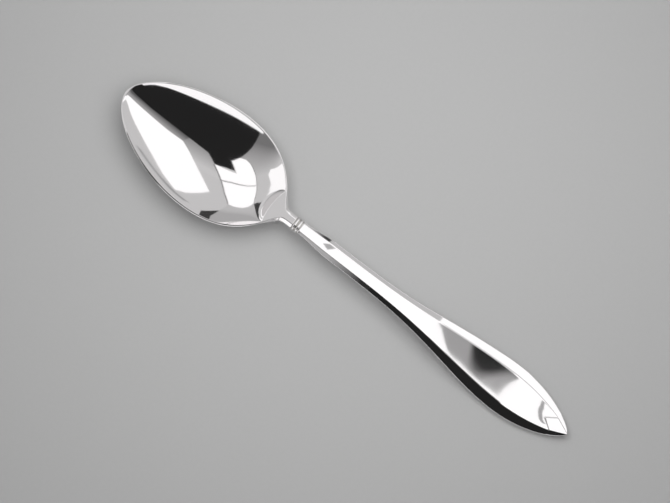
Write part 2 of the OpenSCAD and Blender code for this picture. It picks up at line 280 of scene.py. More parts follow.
class ShapeTree(Nodes):
    """A geometry node tree with a named input for each size of a property group."""

    def __init__(self, name, group):
        super().__init__(bpy.data.node_groups.new(name, "GeometryNodeTree"))
        for way in ("INPUT", "OUTPUT"):
            self.tree.interface.new_socket("Geometry", in_out=way,
                                           socket_type="NodeSocketGeometry")
        self.entry = self.node("NodeGroupInput")
        self.exit = self.node("NodeGroupOutput")
        self.inputs = {}
        for key, prop in group.bl_rna.properties.items():
            if key in type(group).__annotations__:
                kind = "NodeSocketInt" if prop.type == "INT" else "NodeSocketFloat"
                self.add_input(key, prop.name, getattr(group, key), kind)

    def add_input(self, key, name, value, kind="NodeSocketFloat"):
        socket = self.tree.interface.new_socket(name, in_out="INPUT", socket_type=kind)
        self.inputs[key] = (socket, value)

    def sizes(self):
        """The named inputs, as numbers of the tree."""
        return SimpleNamespace(**{key: Field(self, self.entry.outputs[socket.name])
                                  for key, (socket, _) in self.inputs.items()})

    def attribute(self, name):
        return self.field("GeometryNodeInputNamedAttribute", {"Name": name}, "Attribute",
                          data_type="FLOAT")

    def vector(self, x, y, z):
        return self.out("ShaderNodeCombineXYZ", {"X": x, "Y": y, "Z": z})

    def join(self, *pieces):
        joined = self.node("GeometryNodeJoinGeometry")
        for piece in pieces:
            self.feed(joined.inputs[0], piece)
        return joined.outputs[0]

    def finish(self, geometry, material):
        """Ends the tree with smooth, real geometry in its material."""
        smoothed = self.out("GeometryNodeSetShadeSmooth", {"Geometry": geometry})
        real = self.out("GeometryNodeRealizeInstances", {"Geometry": smoothed})
        dressed = self.out("GeometryNodeSetMaterial", {"Geometry": real, "Material": material})
        self.feed(self.exit.inputs[0], dressed)

    def run(self, name, blank):
        """Runs the tree on a blank mesh and returns the piece as a plain mesh object."""
        source = add_object(name + "_blank", blank)
        modifier = source.modifiers.new("shape", "NODES")
        modifier.node_group = self.tree
        for socket, value in self.inputs.values():
            modifier[socket.identifier] = value
        evaluated = source.evaluated_get(bpy.context.evaluated_depsgraph_get())
        mesh = bpy.data.meshes.new_from_object(evaluated)
        source.modifiers.remove(modifier)
        bpy.data.objects.remove(source)
        if not mesh.polygons:
            raise RuntimeError(name + " came out empty")
        mesh.name = name
        return add_object(name, mesh)


# Objects, and rings of points that are lofted to closed meshes

def add_object(name, data):
    thing = bpy.data.objects.new(name, data)
    bpy.context.collection.objects.link(thing)
    return thing


def hand_in(piece, node):
    """Lets a piece stand for its CAD node."""
    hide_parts(node)
    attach(piece, "root")


def loft_faces(stations, ring):
    """Quads between the rings of a loft whose rings run over the top first, and its two ends."""
    i, j = np.meshgrid(np.arange(stations - 1), np.arange(ring), indexing="ij")
    k = (j + 1) % ring
    quads = np.stack([i * ring + j, (i + 1) * ring + j, (i + 1) * ring + k, i * ring + k], -1)
    first = list(range(ring))
    last = [(stations - 1) * ring + n for n in reversed(range(ring))]
    return quads.reshape(-1, 4).tolist() + [first, last]


def loft_mesh(name, points, marks):
    """A closed mesh through points[station, ring], with a float attribute for each mark."""
    stations, ring = points.shape[:2]
    mesh = bpy.data.meshes.new(name)
    mesh.from_pydata(points.reshape(-1, 3).tolist(), [], loft_faces(stations, ring))
    for key, values in marks.items():
        attribute = mesh.attributes.new(key, "FLOAT", "POINT")
        attribute.data.foreach_set("value", np.broadcast_to(values, (stations, ring)).ravel())
    mesh.shade_smooth()
    return mesh


def bent(before, corner, after, count):
    """Points of a rounded corner, from the point before it to the point after it."""
    t = np.linspace(0, 1, count)
    t = t.reshape((count,) + (1,) * np.ndim(corner))
    return (1 - t) ** 2 * before + 2 * t * (1 - t) * corner + t ** 2 * after


# The bowl

# Weights that the tree's sizes have in a line along the bowl, and how worn the line is
BOWL_MARKS = ("share", "inner", "crest", "half", "drop", "side", "hollow", "under", "edge")
MIRRORED = np.array([-1, -1, -1, -1, 1, 1, 1, 1, 1])
HOLLOW_LINES, UNDER_LINES, ROUND_LINES = 61, 61, 6
CREST_BEND, RIM_BEND = (0.55, 0.25), (0.65, 0.35)  # Start and end, as shares of the faces
NEXT_LINE = 0.15  # Place of the line next to the rim's first and last
TIP_RINGS, WALL_RINGS, CREASE_RINGS, NECK_RINGS = 92, 71, 37, 49
TANG_SIDES = 48

# Powers and shares that shape the bowl
HOLLOW_POWER = 1.75
CREASE_POWER = 3.0
EGG_POWER = 1.12
END_TUCK, END_TUCK_POWER, END_SLOPE = 0.45, 8.5, 1.2
BEVEL_MOST, INNER_LEAST = 0.62, 0.35
NECK_BELLY = 0.55


def bowl_columns():
    """The lines along the bowl: near rim, hollow, far rim and underside."""
    inner, crest, edge, low = np.eye(4)

    def rounded(a, corner, b, start, end):
        return bent(mix(a, corner, start), corner, mix(corner, b, end), ROUND_LINES)

    path = np.concatenate([
        [inner, mix(inner, crest, NEXT_LINE)],
        rounded(inner, crest, edge, *CREST_BEND),
        rounded(crest, edge, low, *RIM_BEND),
        [mix(low, edge, NEXT_LINE), low],
    ])
    rim = []
    for a, b, c, d in path:
        worn = min(2 * max(b, c), 1.0) if b + c > 0.5 else 0.0
        rim.append((1.0, a, b, c + d, c + d, d, 0.0, 0.0, worn))
    rim = np.array(rim)
    shares = np.sin(np.linspace(-math.pi / 2, math.pi / 2, HOLLOW_LINES))[1:-1]
    hollow = [(v, v, 0, 0, 0, 0, 1, 0, 0) for v in shares]
    shares = np.cos(np.linspace(0, math.pi, UNDER_LINES))[1:-1]
    under = [(v, 0, 0, v, 1, 1, 0, 1, 0) for v in shares]
    return np.concatenate([rim[::-1] * MIRRORED, hollow, rim, under])


def bowl_stations(b):
    """Distances of the bowl's rings from its tip, close together at the tip and the crease."""
    tip = b.bowl_widest_at * (1 - np.cos(np.linspace(0, math.pi / 2, TIP_RINGS)))[1:]
    tip[0] = FINE
    crease = 4 * b.heel_round
    heel_from, heel_to = b.hollow_length - crease, b.hollow_length + crease
    wall = mix(b.bowl_widest_at, heel_from, np.sin(np.linspace(0, math.pi / 2, WALL_RINGS)))
    heel = np.linspace(heel_from, heel_to, CREASE_RINGS)
    neck = np.linspace(heel_to, b.bowl_length + b.neck_length, NECK_RINGS)
    return np.concatenate([tip, wall[1:], heel[1:], neck[1:]])


def egg_cos(u, length, widest):
    """Cosine of an egg's angle: 1 at its tip, 0 at its widest place, -1 at its end."""
    a = length * 0.5
    c = widest - a
    k = u.within(0.0, length) - a - c
    return (-2.0 * k / (a + (a * a - 4.0 * c * k).root())).within(-1.0, 1.0)


def bowl_tree(group, material, middle):
    """Moves the points of the blank to the bowl's shape, and adds the tang."""
    shape = ShapeTree("bowl_shape", group)
    shape.add_input("middle", "Middle", middle)
    shape.add_input("collar_z", "Collar Height Above Table", COLLAR_Z)
    v = shape.sizes()
    blank = shape.entry.outputs["Geometry"]
    along, across = shape.attribute("along"), shape.attribute("share")
    weight = SimpleNamespace(**{key: shape.attribute(key) for key in BOWL_MARKS[1:-1]})
    length, widest, heel = v.bowl_length, v.bowl_widest_at, v.hollow_length

    # The rings bow where the heel's crease does
    reach = mix(length + v.neck_length - heel, v.bow_run, along.below(heel))
    away = (along - heel) / reach
    bow = (1.0 - away * away).at_least(0.0)
    u = along + v.heel_bow * across * across * bow * bow

    # The hollow, cut off by the wall below the crease
    margin = v.rim_flat + v.rim_edge

    def round_hollow(x):
        c = egg_cos(x - margin, length - 2.0 * margin, v.hollow_deepest_at - margin)
        return v.hollow_depth * (1.0 - c * c).root() ** HOLLOW_POWER

    to_heel = heel - along
    soft = (to_heel + v.heel_round).within(0.0, 2.0 * v.heel_round)
    wall = v.heel_slope * (soft * soft / (4.0 * v.heel_round)
                           + (to_heel - v.heel_round).at_least(0.0))

    def cut_off(depth):
        both = (depth ** CREASE_POWER + wall ** CREASE_POWER) ** (1 / CREASE_POWER)
        return depth * wall / both.at_least(TINY)

    hollow = cut_off(round_hollow(u) * (1.0 - across * across))

    # The height of the middle, which goes over into the neck
    middle_hollow = cut_off(round_hollow(along)) + v.bowl_wall
    neck = v.neck_height * ((along - widest) / (heel - widest)).step()
    height = mix(fillet_max(middle_hollow, neck, v.back_blend), middle_hollow,
                 along.below(widest))

    def rim_rise(x):
        rise_from = widest + v.rise_run
        to_neck = ((x - rise_from) / (length - rise_from)).step("SMOOTHERSTEP")
        return v.tip_rise * (1.0 - x.at_most(length) / widest) + v.neck_rise * to_neck

    keel = shape.field("GeometryNodeAttributeStatistic", {
        "Geometry": blank, "Attribute": height - rim_rise(along)}, "Max")

    # The outline, the rim and the underside
    c = egg_cos(u, length, widest)
    egg = (v.bowl_width * 0.5 * (1.0 - c * c).root() ** EGG_POWER
           * (1.0 - END_TUCK * ((1.0 - c) * 0.5) ** END_TUCK_POWER)
           - END_SLOPE * (u - length).at_least(0.0))
    half = mix(fillet_max(egg, v.neck_width * 0.5, v.heel_fillet), egg, u.below(widest))
    neckness = ((u - heel) / v.bevel_run).step()
    crest = half - mix(v.rim_edge, v.neck_bevel, neckness).at_most(BEVEL_MOST * half)
    inner = (crest - v.rim_flat).at_least(INNER_LEAST * half)
    drop = mix(v.rim_drop, v.neck_bevel_drop, neckness)
    side = mix(v.rim_side, v.neck_side, neckness)
    belly = ((height - drop - side)
             * (1.0 - across * across).at_least(0.0) ** mix(1.0, NECK_BELLY, neckness))

    x = u - v.middle
    y = weight.inner * inner + weight.crest * crest + weight.half * half
    z = (keel + rim_rise(u) - weight.drop * drop - weight.side * side
         - weight.hollow * hollow - weight.under * belly)
    placed = shape.out("GeometryNodeSetPosition", {
        "Geometry": blank, "Position": shape.vector(x, y, z)})

    # The tang, a rod through the collar into the handle
    rod_length = v.tang_length + (COLLAR_HIGH.x - COLLAR_LOW.x)
    rod = shape.out("GeometryNodeMeshCylinder", {
        "Vertices": TANG_SIDES, "Radius": v.tang_diameter * 0.5, "Depth": rod_length})
    rod_x = length + v.neck_length - v.middle + rod_length * 0.5
    turned = shape.out("GeometryNodeTransform", {
        "Geometry": rod, "Rotation": UPRIGHT_TO_X,
        "Translation": shape.vector(rod_x, 0.0, v.collar_z)})
    shape.finish(shape.join(turned, placed), material)
    return shape


class SPOON_OT_bowl(Operator):
    """Forms the bowl with its heel, neck and tang"""
    bl_idname = "spoon.bowl"
    bl_label = "Bowl"

    def execute(self, context):
        b, finish = context.scene.spoon_bowl, context.scene.spoon_finish
        columns, along = bowl_columns(), bowl_stations(b)[:, None]
        marks = {key: columns[None, :, n] for n, key in enumerate(BOWL_MARKS)}
        crease = np.exp(-((along - b.hollow_length) / (2 * b.heel_round)) ** 2)
        marks["edge"] = np.maximum(marks["edge"], crease * marks["hollow"])
        marks["along"] = along
        flat = np.zeros((len(along), len(columns), 3))
        flat[..., 0], flat[..., 1] = along, np.arange(len(columns)) * MM
        blank = loft_mesh("bowl_blank", flat, marks)
        metal = silver("bowl_silver", finish.bowl, finish, along_x=0.25)
        middle = b.bowl_length + b.neck_length - COLLAR_LOW.x
        piece = bowl_tree(b, metal, middle).run("spoon_bowl", blank)
        hand_in(piece, "bowl")
        return {"FINISHED"}


# The collar

BEAD_STEPS, COLLAR_SIDES = 30, 128
SIDE_STEP, WELD = 1e-5, 1e-6  # Where the oval's sides part, and the weld's reach


def collar_tree(group, material):
    """A row of beads round an oval, and the bore inside them."""
    shape = ShapeTree("collar_shape", group)
    v = shape.sizes()
    pitch, proud = v.bead_pitch, v.bead_proud
    core = v.collar_height * 0.5 - proud
    spread = (v.collar_width - v.collar_height) * 0.5

    circle = shape.out("GeometryNodeCurvePrimitiveCircle", {
        "Resolution": COLLAR_SIDES, "Radius": core})
    here = shape.out("GeometryNodeInputPosition")
    y = shape.field("ShaderNodeSeparateXYZ", {0: here}, "Y")
    away = shape.vector(0.0, (y / SIDE_STEP).within(-1.0, 1.0) * spread, 0.0)
    path = shape.out("GeometryNodeSetPosition", {"Geometry": circle, "Offset": away})

    def swept(count, across, out, groove):
        """A tube round the oval. Its profile has points at distances across and out."""
        line = shape.out("GeometryNodeMeshLine", {"Count": count})
        number = shape.field("GeometryNodeInputIndex")
        placed = shape.out("GeometryNodeSetPosition", {
            "Geometry": line, "Position": shape.vector(out(number), -across(number), 0.0)})
        marked = shape.out("GeometryNodeStoreNamedAttribute", {
            "Geometry": placed, "Name": "groove", "Value": groove(number)},
            data_type="FLOAT", domain="POINT")
        profile = shape.out("GeometryNodeMeshToCurve", {"Mesh": marked})
        return shape.out("GeometryNodeCurveToMesh", {"Curve": path, "Profile Curve": profile})

    def bead_across(number):
        return number / float(BEAD_STEPS) * pitch

    def bead_height(number):
        half = (pitch - v.bead_groove) * 0.5
        off = (bead_across(number) - pitch * 0.5) / half
        return (1.0 - off * off).at_least(0.0).root()

    bead = swept(BEAD_STEPS + 1, bead_across, lambda n: proud * bead_height(n),
                 lambda n: 1.0 - bead_height(n))
    row = shape.out("GeometryNodeMeshLine", {
        "Count": v.bead_count, "Offset": shape.vector(0.0, 0.0, pitch)})
    beads = shape.out("GeometryNodeInstanceOnPoints", {"Points": row, "Instance": bead})
    real = shape.out("GeometryNodeRealizeInstances", {"Geometry": beads})

    # The bore's profile goes in at one end, along the hole and out at the other
    length = pitch * v.bead_count
    inset = v.bore * 0.5 - core
    bore = swept(4, lambda n: length * (2.0 - n).within(0.0, 1.0),
                 lambda n: inset * (1.5 - abs(n - 1.5)).at_most(1.0), lambda n: n * 0.0 + 1.0)
    welded = shape.out("GeometryNodeMergeByDistance", {
        "Geometry": shape.join(real, bore), "Distance": WELD})
    placed = shape.out("GeometryNodeTransform", {
        "Geometry": welded, "Rotation": UPRIGHT_TO_X,
        "Translation": (COLLAR_LOW.x, 0.0, COLLAR_Z)})
    shape.finish(placed, material)
    return shape


class SPOON_OT_collar(Operator):
    """Turns the beaded collar between neck and handle"""
    bl_idname = "spoon.collar"
    bl_label = "Collar"

    def execute(self, context):
        sizes, finish = context.scene.spoon_collar, context.scene.spoon_finish
        metal = silver("collar_silver", finish.collar, finish, along_x=1.0, groove=0.6)
        blank = bpy.data.meshes.new("collar_blank")
        piece = collar_tree(sizes, metal).run("spoon_collar", blank)
        hand_in(piece, "collar")
        return {"FINISHED"}


# The handle

HOLLOW_RINGS, POINT_RINGS, PANEL_LINES = 200, 131, 18
OUTLINE_POWER, PANEL_POWER = 0.75, 0.85  # How bluntly outline and panels come to the tip
PANEL_MOST = 0.9  # Widest panel, as a share of the outline
BACK_LEAST = 0.2 * MM
POINT_RAKE = 0.15
ROUND_MOST, CREASE_MOST, SIDE_MOST, FOOT_MOST = 0.35, 0.4, 0.5, 0.3  # As shares of a face
BEVEL_LINES = (0.08, 0.92)
PARTING_SHARE = 0.8  # Width of the line across the parting face, as a share
SEAM_WEAR = (1, 0.5)
EDGE_WEAR = (0.4, 0.8, 1, 1, 0.8, 0.4)
CREASE_WEAR = (0.2, 0.6, 1, 1, 1, 0.6, 0.2)
OTHER_SIDE = np.array([-1.0, 1.0])


def smooth(t):
    c = np.clip(t, 0, 1)
    return c * c * (3 - 2 * c)


def smoother(t):
    c = np.clip(t, 0, 1)
    return c ** 3 * (10 - 15 * c + 6 * c * c)


def pairs(y, z):
    return np.stack([y, z], -1)


class HandleForm:
    """The handle's outlines and heights at distances s from the collar."""

    def __init__(self, h, length):
        self.h = h
        hollow_end = length - h.hollow_short
        tip = length - TIP_BLUNT
        self.s = s = np.concatenate([np.linspace(0, hollow_end, HOLLOW_RINGS),
                                     np.linspace(hollow_end, tip, POINT_RINGS)[1:]])
        self.hollow = s <= hollow_end + TINY
        widest = length - h.leaf_point
        self.flare = smooth((s - h.flare_at) / (widest - h.flare_at)) ** h.flare_power
        self.tip = np.clip((s - widest) / h.leaf_point, 0, 1)

        # Outline and panels, as half widths
        nose = np.sqrt(np.clip((tip + FINE - s) / h.nose, 0, 1))
        nose = np.clip(nose * (2 - nose), 0, 1)
        outline = self.width(h.root_width, h.stem_width, h.leaf_width, OUTLINE_POWER)
        self.half = outline * nose
        most = PANEL_MOST * self.half
        plain = self.width(h.root_panel, h.stem_panel, h.leaf_panel, PANEL_POWER)
        self.point_at = length - h.point_length
        self.corner = np.interp(self.point_at, s, plain)
        pointed = self.corner * (length - s) / h.point_length
        self.panel = np.minimum(np.where(s < self.point_at, plain, pointed), most)
        back = self.width(h.root_back, h.stem_back, h.leaf_back, PANEL_POWER)
        self.back = np.minimum(np.maximum(back, BACK_LEAST), most)

        # Heights above the table
        stem = mix(h.stem_thickness, h.leaf_thickness, self.flare)
        thickness = mix(stem, h.tip_thickness, self.tip ** 2)
        fall = smoother((s - h.bend_at) / (h.rest_at - h.bend_at))
        rest_end = h.rest_at + h.rest_length
        lift = np.maximum(s - rest_end, 0) / (length - rest_end)
        self.back_z = (COLLAR_Z - h.stem_thickness / 2) * (1 - fall) + h.tip_lift * lift ** 2
        self.crease_z = self.back_z + thickness
        self.edge_z = self.crease_z - h.bevel_slope * (self.half - self.panel)
        self.side = h.edge_height * thickness / h.leaf_thickness
        self.parting = self.edge_z - self.side / 2

    def width(self, root, stem, leaf, power):
        """Half of a width that goes from root to stem to leaf, and to nothing at the tip."""
        grown = mix(root, stem, smooth(self.s / self.h.root_length))
        return mix(grown, leaf, self.flare) / 2 * (1 - self.tip ** 2) ** power

    def on_point(self, y):
        """Share of the step up to the faceted point, at distances y from the middle."""
        y = np.abs(y)
        inside = self.point_at - self.h.point_chevron * (1 - y / self.corner)
        outside = self.point_at - POINT_RAKE * (y - self.corner)
        line = np.where(y < self.corner, inside, outside)
        return smooth((self.s - line) / self.h.point_ramp + 0.5)

    def front_z(self, y):
        """Height of the dished front panel and of the point on it."""
        v, step = y / self.panel, self.on_point(y)
        dish = self.h.dish_depth * self.flare * (1 - v * v) * (1 - step)
        return self.crease_z - dish + self.h.point_step * step

    def panel_line(self, y, front):
        return pairs(y, self.front_z(y) if front else self.back_z)

    def outer(self, front):
        """The right half of an outer line, from the parting face to the middle, and its wear."""
        h = self.h
        if front:
            edge_z = self.edge_z + h.point_step * self.on_point(self.half)
        else:
            edge_z = self.edge_z - self.side
        crease_y = self.panel if front else self.back
        foot, edge = pairs(self.half, self.parting), pairs(self.half, edge_z)
        crease = self.panel_line(crease_y, front)

        def towards(a, b, far, limit):
            """Points at a distance from a towards b, at most a share of the way."""
            d = b - a
            span = np.linalg.norm(d, axis=-1, keepdims=True)
            far = np.broadcast_to(far, self.s.shape)[:, None]
            return a + d * np.minimum(far / np.maximum(span, TINY), limit)

        rounding = mix(h.stem_round, h.leaf_round, self.flare)
        bevel_low = towards(edge, crease, h.edge_round, ROUND_MOST)
        bevel_high = towards(crease, edge, rounding, CREASE_MOST)
        inside_y = crease_y - np.minimum(rounding, ROUND_MOST * crease_y)
        lines = [
            foot[None],
            towards(foot, edge, FINE, FOOT_MOST)[None],
            bent(towards(edge, foot, h.edge_round, SIDE_MOST), edge, bevel_low, len(EDGE_WEAR)),
            *(mix(bevel_low, bevel_high, t)[None] for t in BEVEL_LINES),
            bent(bevel_high, crease, self.panel_line(inside_y, front), len(CREASE_WEAR)),
        ]
        for t in np.linspace(1, 0, PANEL_LINES + 1)[1:]:
            lines.append(self.panel_line(inside_y * t, front)[None])
        wear = [*SEAM_WEAR, *EDGE_WEAR, 0, 0, *CREASE_WEAR] + [0] * PANEL_LINES
        return np.concatenate(lines), np.array(wear, float)

    def inner(self, front):
        """The line of the hollow, or behind the hollow the line across the parting face."""
        h, side = self.h, 1 if front else -1
        half = self.panel if front else self.back
        panel = [self.panel_line(v * half, front) for v in np.arange(-3, 4) / 3]
        edge = pairs(self.half, self.parting)
        line = np.stack([edge * OTHER_SIDE, *panel, edge])
        d = np.diff(line, axis=0)
        normal = side * pairs(d[..., 1], -d[..., 0])
        normal /= np.maximum(np.linalg.norm(normal, axis=-1, keepdims=True), TINY)
        a, b = normal[:-1], normal[1:]
        moved = line[1:-1] + h.wall * (a + b) / (1 + (a * b).sum(-1, keepdims=True))
        foot = pairs(h.seam_width - self.half, self.parting)
        knee = (foot + moved[0]) / 2
        hollow = np.concatenate([[foot, knee], moved, [knee * OTHER_SIDE, foot * OTHER_SIDE]])
        across = PARTING_SHARE * self.half * np.arange(-5, 6)[:, None] / 5
        solid = pairs(across, np.broadcast_to(self.parting, across.shape))
        return np.where(self.hollow[None, :, None], hollow, solid)

    def mesh(self, name, front):
        """One half of the handle, its outer and inner lines joined to closed rings."""
        right, wear = self.outer(front)
        outer = np.concatenate([right[:-1] * OTHER_SIDE, right[::-1]])
        wear = np.concatenate([wear[:-1], wear[::-1]])
        inner = self.inner(front)
        none = np.zeros(len(inner))
        ring = np.concatenate([outer, inner[::-1]] if front else [inner, outer[::-1]])
        worn = np.concatenate([wear, none] if front else [none, wear[::-1]])
        ring = ring.transpose(1, 0, 2)
        x = np.broadcast_to((HANDLE_LOW.x + self.s)[:, None], ring.shape[:2])
        seam = np.isclose(ring[..., 1], self.parting[:, None], atol=TINY) * (worn > 0)
        points = np.stack([x, ring[..., 0], ring[..., 1]], -1)
        return loft_mesh(name, points, {"edge": worn[None], "groove": seam.astype(float)})


class SPOON_OT_handle(Operator):
    """Stamps the two halves of the hollow handle"""
    bl_idname = "spoon.handle"
    bl_label = "Handle"

    def execute(self, context):
        h, finish = context.scene.spoon_handle, context.scene.spoon_finish
        form = HandleForm(h, HANDLE_HIGH.x - HANDLE_LOW.x + TIP_BLUNT)
        metal = silver("handle_silver", finish.handle, finish, along_x=0.08, groove=0.5)
        for node, front in (("handle_front", True), ("handle_back", False)):
            name = "spoon_" + node
            mesh = form.mesh(name, front)
            mesh.materials.append(metal)
            hand_in(add_object(name, mesh), node)
        return {"FINISHED"}


class SPOON_OT_filler(Operator):
    """Gives the cement in the handle its look"""
    bl_idname = "spoon.filler"
    bl_label = "Filler"

    def execute(self, context):
        node = frame["nodes"]["handle_filler"]
        look = cement("handle_cement", context.scene.spoon_finish.cement)
        node.data.materials.clear()
        node.data.materials.append(look)
        return {"FINISHED"}


# Materials

EVEN = (1.0, 1.0, 1.0)
SMUDGE_LEAST, HAIR_SHARE = 0.55, 0.5
WORN_TONE, WORN_SHARE, WORN_ROUGH = 1.06, 0.8, 0.05
DULL_TONE, DULL_ROUGH = (0.42, 0.42, 0.36), 0.35
PALE_TONE, PALE_SHARE, DEEP_TONE = 1.8, 0.6, 0.6


def toned(colour, tone=1.0):
    """A colour times a tone, or times a tone for each of red, green and blue."""
    return [min(c * t, 1.0) for c, t in zip(colour, np.broadcast_to(tone, 3))] + [1.0]


class Look(Nodes):
    """A material whose nodes are made one by one."""

    def __init__(self, name):
        self.material = bpy.data.materials.new(name)
        self.material.use_nodes = True
        super().__init__(self.material.node_tree)
        self.shader = self.tree.nodes["Principled BSDF"]
        self.place = self.out("ShaderNodeTexCoord", output="Object")

    def mark(self, name):
        return self.field("ShaderNodeAttribute", output="Fac", attribute_name=name)

    def noise(self, scale, detail, stretch=EVEN, turn=0.0):
        """Noise from 0 to 1 on Object coordinates, stretched along the axes."""
        placed = self.out("ShaderNodeMapping", {
            "Vector": self.place, "Rotation": (0.0, 0.0, turn), "Scale": stretch})
        return self.field("ShaderNodeTexNoise", {
            "Vector": placed, "Scale": scale, "Detail": detail}, "Fac")

    def between(self, value, low, high):
        return self.field("ShaderNodeMapRange", {
            "Value": value, "From Min": low, "From Max": high}, "Result")

    def blend(self, amount, a, b):
        return self.out("ShaderNodeMix", {"Factor": amount, 6: a, 7: b}, 2, data_type="RGBA")

    def bump(self, height, strength, distance):
        return self.out("ShaderNodeBump", {
            "Strength": strength, "Distance": distance, "Height": height})

    def set(self, **values):
        for key, value in values.items():
            self.feed(self.shader.inputs[key.replace("_", " ").title()], value)


def silver(name, colour, finish, along_x, groove=0.0):
    """Polished silver with fine polishing marks, handled places, worn edges and dull grooves."""
    look = Look(name)
    marks = look.noise(scale=5200.0, detail=2.0, stretch=(along_x, 1.0, 1.0))
    hairs = look.noise(scale=9000.0, detail=1.0, stretch=(0.05, 1.0, 1.0), turn=0.5)
    handled = look.between(look.noise(scale=55.0, detail=4.0), low=0.42, high=0.72)
    edge, low = look.mark("edge"), look.mark("groove")
    smudged = finish.smudge * handled * mix(SMUDGE_LEAST, 1.0, marks)
    rough = finish.polish + smudged + WORN_ROUGH * edge * marks + groove * DULL_ROUGH * low
    plain = look.blend(edge * WORN_SHARE, toned(colour), toned(colour, WORN_TONE))
    tone = look.blend(low * groove, plain, toned(colour, DULL_TONE))
    bump = look.bump(marks + HAIR_SHARE * hairs, strength=1.0, distance=2.5e-7)
    look.set(base_color=tone, roughness=rough, metallic=1.0, normal=bump)
    return look.material


def cement(name, colour):
    """Cast cement, matt, with coarse grains and pale specks."""
    look = Look(name)
    grains = look.noise(scale=900.0, detail=6.0)
    specks = look.between(look.noise(scale=2600.0, detail=2.0), low=0.62, high=0.74)
    tone = look.blend(grains, toned(colour, DEEP_TONE), toned(colour))
    tone = look.blend(specks * PALE_SHARE, tone, toned(colour, PALE_TONE))
    bump = look.bump(grains, strength=0.6, distance=4e-5)
    look.set(base_color=tone, roughness=0.75 + 0.2 * grains, normal=bump)
    return look.material


# The studio

SENSOR_WIDTH, CLIP_START = 36.0, 0.01
FLOOR_REACH, FLOOR_DROP = 4.0, 0.2 * MM
FLOOR_SPREAD = 0.02  # How far the paper's tone goes up and down
LAMP_SIZE, LAMP_ENERGY = 0.36, 0.73
LAMP_RIGHT, LAMP_UP, LAMP_HEIGHT = 0.008, 0.053, 0.27
SOFT_LEVEL, PALE_LEVEL = 0.32, 0.6

